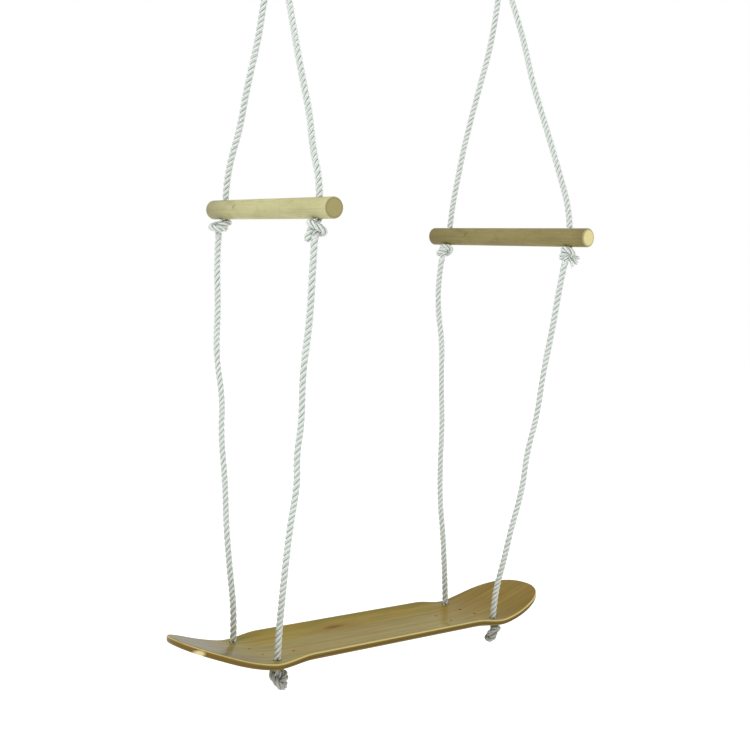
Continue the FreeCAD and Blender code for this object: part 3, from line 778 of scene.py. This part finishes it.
def rail_height(along, across):
    """How far the concave lifts the deck towards its rails. It fades out over the kicks."""
    rise = max(abs(across) / HALF_WIDTH - CONCAVE_START, 0.0) / (1 - CONCAVE_START)
    fade = 1 - smooth_step((abs(along) - KICK_START) / CONCAVE_FADE)
    return CONCAVE_HEIGHT * rise ** CONCAVE_POWER * float(fade)


def top_height(along, across):
    """Height of the top face, measured from the deck's own centre."""
    return kick_height(along) + rail_height(along, across)


def upright_thickness(along, across):
    """The deck's thickness measured straight down, which is more where it slopes."""
    step = 0.0005
    slope_x = (top_height(along + step, across) - top_height(along - step, across)) / (2 * step)
    slope_y = (top_height(along, across + step) - top_height(along, across - step)) / (2 * step)
    return THICKNESS * math.sqrt(1 + slope_x ** 2 + slope_y ** 2)


def half_outline():
    """The +Y half of the outline, tail's tip to nose's tip, as (along, across, middle-line along)."""
    steps, power = 44, 2 / END_POWER
    nose = []
    for number in range(steps + 1):
        angle = math.pi / 2 * number / steps
        reach = END_LENGTH * math.cos(angle) ** power
        across = HALF_WIDTH * math.sin(angle) ** power
        nose.append((NOSE_LENGTH - END_LENGTH + reach, across, NOSE_LENGTH - END_LENGTH + 0.6 * reach))
    shift = TAIL_LENGTH - NOSE_LENGTH
    tail = [(-x - shift, y, -middle - shift) for x, y, middle in nose]
    straight = np.linspace(tail[-1][0], nose[-1][0], 62)[1:-1]
    rail = [(x, HALF_WIDTH, x) for x in straight]
    return tail + rail + nose[::-1]


def outline_loop():
    """The whole outline, once round, with the outward direction at each point."""
    half = half_outline()
    loop = half + [(x, -y, middle) for x, y, middle in half[-2:0:-1]]
    plan = np.array([point[:2] for point in loop])
    along = np.roll(plan, -1, 0) - np.roll(plan, 1, 0)
    outward = np.stack([-along[:, 1], along[:, 0]], 1)
    outward /= np.linalg.norm(outward, axis=1)[:, None]
    return plan, np.array([point[2] for point in loop]), outward


def edge_profile():
    """The rounded edge from the top face down to the underside, as (inset, share of the thickness)."""
    steps = 6
    roundness = EDGE_RADIUS / THICKNESS
    upper = []
    for number in range(steps + 1):
        angle = math.pi / 2 * number / steps
        upper.append((EDGE_RADIUS * (1 - math.sin(angle)), roundness * (1 - math.cos(angle))))
    side = [(0.0, share) for share in np.linspace(roundness, 1 - roundness, 9)[1:-1]]
    lower = [(inset, 1 - share) for inset, share in reversed(upper)]
    return upper + side + lower


def deck_mesh():
    """The deck as rings round its outline: in over the top, round the edge, and back under it."""
    plan, middle, outward = outline_loop()
    inner = np.stack([middle, np.zeros(len(middle))], 1)
    rim = plan - outward * EDGE_RADIUS
    spread = np.linspace(0, 1, 15) ** 0.85
    rings = [(inner + (rim - inner) * share, 0.0) for share in spread[:-1]]
    rings += [(plan - outward * inset, share) for inset, share in edge_profile()]
    rings += [(inner + (rim - inner) * share, 1.0) for share in spread[-2::-1]]
    points, depths = [], []
    for ring, share in rings:
        for along, across in ring:
            height = top_height(along, across) - share * upright_thickness(along, across)
            points.append((along, across, height))
            depths.append(share)
    count = len(plan)
    faces = []
    for row in range(len(rings) - 1):
        for number in range(count):
            here, following = row * count + number, row * count + (number + 1) % count
            faces.append((here, here + count, following + count, following))
    mesh = mesh_from("pressed_deck", np.array(points) + np.array(DECK_CENTRE), faces)
    shape = bmesh.new()
    shape.from_mesh(mesh)
    bmesh.ops.remove_doubles(shape, verts=shape.verts, dist=1e-6)
    bmesh.ops.dissolve_degenerate(shape, edges=shape.edges, dist=1e-7)
    bmesh.ops.recalc_face_normals(shape, faces=shape.faces)
    shape.to_mesh(mesh)
    shape.free()
    return mesh


def drill(deck, places):
    """Cut round holes through the deck, and clean up their rims. Each place is (along, across, radius)."""
    turn = Matrix.Rotation(HOLE_TURN, 4, "Z")
    shape = bmesh.new()
    for along, across, radius in places:
        centre = DECK_CENTRE + Vector((along, across, 0.02))
        bmesh.ops.create_cone(shape, cap_ends=True, segments=HOLE_SIDES, radius1=radius, radius2=radius,
                              depth=0.12, matrix=Matrix.Translation(centre) @ turn)
    cutter_mesh = bpy.data.meshes.new("drills")
    shape.to_mesh(cutter_mesh)
    shape.free()
    cutter = new_object("drills", cutter_mesh)
    cut = deck.modifiers.new("holes", "BOOLEAN")
    cut.object = cutter
    cut.solver = "MANIFOLD"
    bpy.context.view_layer.update()
    result = bpy.data.meshes.new_from_object(deck.evaluated_get(bpy.context.evaluated_depsgraph_get()))
    deck.modifiers.clear()
    clean_rims(result)
    deck.data = result
    bpy.data.objects.remove(cutter)


def clean_rims(mesh):
    """Merge the slivers that the drilling leaves, and split its many-sided faces into triangles."""
    shape = bmesh.new()
    shape.from_mesh(mesh)
    bmesh.ops.remove_doubles(shape, verts=shape.verts, dist=SLIVER)
    bmesh.ops.dissolve_degenerate(shape, edges=shape.edges, dist=SLIVER)
    many_sided = [face for face in shape.faces if len(face.verts) > 4]
    bmesh.ops.triangulate(shape, faces=many_sided, ngon_method="BEAUTY")
    shape.to_mesh(mesh)
    shape.free()


def hole_places():
    """The eight truck bolt holes and the four rope holes, measured from the deck's centre."""
    truck = (WHEELBASE + TRUCK_LENGTH) / 2
    places = []
    for end in (-1, 1):
        for across in (-1, 1):
            for along in (-1, 1):
                places.append((end * truck + along * TRUCK_LENGTH / 2, across * TRUCK_WIDTH / 2,
                               TRUCK_HOLE_RADIUS))
            places.append((end * ROPE_HOLE.x, across * ROPE_HOLE.y, ROPE_HOLE_RADIUS))
    return places


def mark_plies(mesh):
    """Store how deep each corner lies in the plywood, and whether it is off the two faces."""
    depths, edges = [], []
    for vertex in mesh.vertices:
        place = vertex.co - DECK_CENTRE
        depth = (top_height(place.x, place.y) - place.z) / upright_thickness(place.x, place.y)
        depths.append(min(max(depth, 0.0), 1.0))
        edges.append(1.0 if 0.06 < depth < 0.98 else 0.0)
    set_attribute(mesh, "ply", depths)
    set_attribute(mesh, "edge", edges)


def make_deck():
    """The pressed, shaped and drilled deck."""
    deck = new_object("pressed_deck", deck_mesh())
    drill(deck, hole_places())
    shade_smooth(deck.data)
    mark_plies(deck.data)
    deck.data.set_sharp_from_angle(angle=math.radians(38))
    paint(deck, deck_material())
    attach(deck, "deck_body")
    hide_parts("deck")


# ================================================================ top loops, knots and fittings
def make_top(side):
    """The loop on the quick link and the coiled knot that closes it."""
    body = side + "_ropes"
    under = Vector(TOP_KNOTS[side])
    knot = under + Vector((0, 0, TOP_KNOT_HEIGHT + LOOP_GAP))
    hang = Vector((EYE_X[side], 0, LINK_BOTTOM))
    upward = (hang - knot).normalized()
    sideways = (Vector((1, 0, 0)) - upward * upward.x).normalized()
    radius = ROPE_DIAMETER / 2 / MM
    bend = WIRE_RADIUS + radius + 0.6
    crown = hang + upward * (bend + 1.5)
    leg = sideways * (radius + 0.5)
    shoulder = sideways * (bend + 0.5)
    low, high = knot - upward * 6, crown - upward * 2 * radius * 1.6
    waist = knot + upward * 14
    route = [low - leg, waist - leg, high - shoulder, crown - shoulder, crown + shoulder, high + shoulder,
             waist + leg, low + leg]
    node = side + "_top_loop"
    line = spline_points(node, [point * MM for point in route])
    loop = laid_rope("laid_" + node, [line], body)
    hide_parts(node)
    coil = laid_rope(f"coiled_{side}_top_knot", coil_lines(under * MM), body, cut_ends=(0,))
    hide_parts(side + "_top_knot")


def coil_lines(under):
    """Turns of rope round both ropes, with the cut end turned down beside them."""
    height = TOP_KNOT_HEIGHT * MM
    share = np.linspace(0, 1, 150)
    angle = 2 * math.pi * COIL_TURNS * share + 0.6
    orbit = 0.0145 - 0.006 * smooth_step((0.06 - share) / 0.06) - 0.004 * smooth_step((share - 0.95) / 0.05)
    low, high = ROPE_DIAMETER / 2, height - ROPE_DIAMETER / 2
    coil = np.stack([orbit * np.cos(angle), orbit * np.sin(angle), low + (high - low) * share], 1)
    end = coil[0] + np.array([[0.004, -0.002, -0.022], [0.003, -0.001, -0.012]])
    line = np.concatenate([end, coil]) + np.array(under)
    return [line[::-1]]


def make_fittings():
    """Zinc plating for the eye screws, quick links and nuts, which keep their CAD shape."""
    zinc = steel_material()
    for side in SIDES:
        for part in ("eye_screw", "quick_link", "link_nut"):
            paint(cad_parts[f"{side}_{part}"], zinc)


def make_handles():
    """The two dowels keep their CAD shape; each has its own piece of wood."""
    woods = {
        "left": handle_material("left", (0.270, 0.245, 0.098), (0.425, 0.405, 0.200),
                                (0.195, 0.175, 0.080), (0.470, 0.440, 0.215), (0.300, 0.255, 0.098)),
        "right": handle_material("right", (0.130, 0.100, 0.029), (0.222, 0.185, 0.064),
                                 (0.140, 0.108, 0.034), (0.125, 0.095, 0.029), (0.770, 0.680, 0.320)),
    }
    for side in SIDES:
        paint(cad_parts[side + "_handle"], woods[side])


# ================================================================ room
def make_camera():
    """A camera at the photograph's viewing angle."""
    forward = Vector((-math.sin(CAMERA_YAW) * math.cos(CAMERA_PITCH),
                      math.cos(CAMERA_YAW) * math.cos(CAMERA_PITCH), -math.sin(CAMERA_PITCH)))
    level = Vector((math.cos(CAMERA_YAW), math.sin(CAMERA_YAW), 0))
    upward = level.cross(forward)
    right = math.cos(CAMERA_ROLL) * level + math.sin(CAMERA_ROLL) * upward
    up = -math.sin(CAMERA_ROLL) * level + math.cos(CAMERA_ROLL) * upward
    data = bpy.data.cameras.new("camera")
    data.lens = CAMERA_LENS
    camera = bpy.data.objects.new("camera", data)
    bpy.context.scene.collection.objects.link(camera)
    turn = Matrix((right, up, -forward)).transposed()
    camera.matrix_world = Matrix.Translation(CAMERA_PLACE) @ turn.to_4x4()
    bpy.context.scene.camera = camera


def add_light(name, place, aim, size, power):
    """A square soft light that looks at a point."""
    data = bpy.data.lights.new(name, "AREA")
    data.size = size
    data.energy = power
    light = bpy.data.objects.new(name, data)
    bpy.context.scene.collection.objects.link(light)
    light.location = place
    light.rotation_mode = "QUATERNION"
    light.rotation_quaternion = (aim - place).to_track_quat("-Z", "Y")


def make_room():
    """A pale floor, a white surround and two soft lights."""
    middle = Vector((0.25, 0.0, -1.0))
    add_light("key", Vector((-1.7, -0.9, 1.2)), middle, 1.4, 30)
    add_light("fill", Vector((2.2, -1.6, 0.2)), middle, 2.0, 4)
    world = bpy.data.worlds.new("surround")
    bpy.context.scene.world = world
    world.use_nodes = True
    world.node_tree.nodes["Background"].inputs["Color"].default_value = (1.0, 1.0, 1.0, 1.0)
    world.node_tree.nodes["Background"].inputs["Strength"].default_value = 1.0
    shape = bmesh.new()
    bmesh.ops.create_circle(shape, cap_ends=True, segments=96, radius=FLOOR_RADIUS)
    mesh = bpy.data.meshes.new("floor")
    shape.to_mesh(mesh)
    shape.free()
    floor = new_object("floor", mesh)
    floor.location = (0.25, 0.0, FLOOR_Z)
    paint(floor, floor_material())
    bpy.context.scene.view_settings.view_transform = "Standard"


# ================================================================ the whole scene
ROPE = rope_material()
make_camera()
make_room()
make_ropes()
overhand = tightened(slack_overhand())
make_handle_knots(overhand)
make_deck_knots(overhand)
for top_side in SIDES:
    make_top(top_side)
make_deck()
make_handles()
make_fittings()
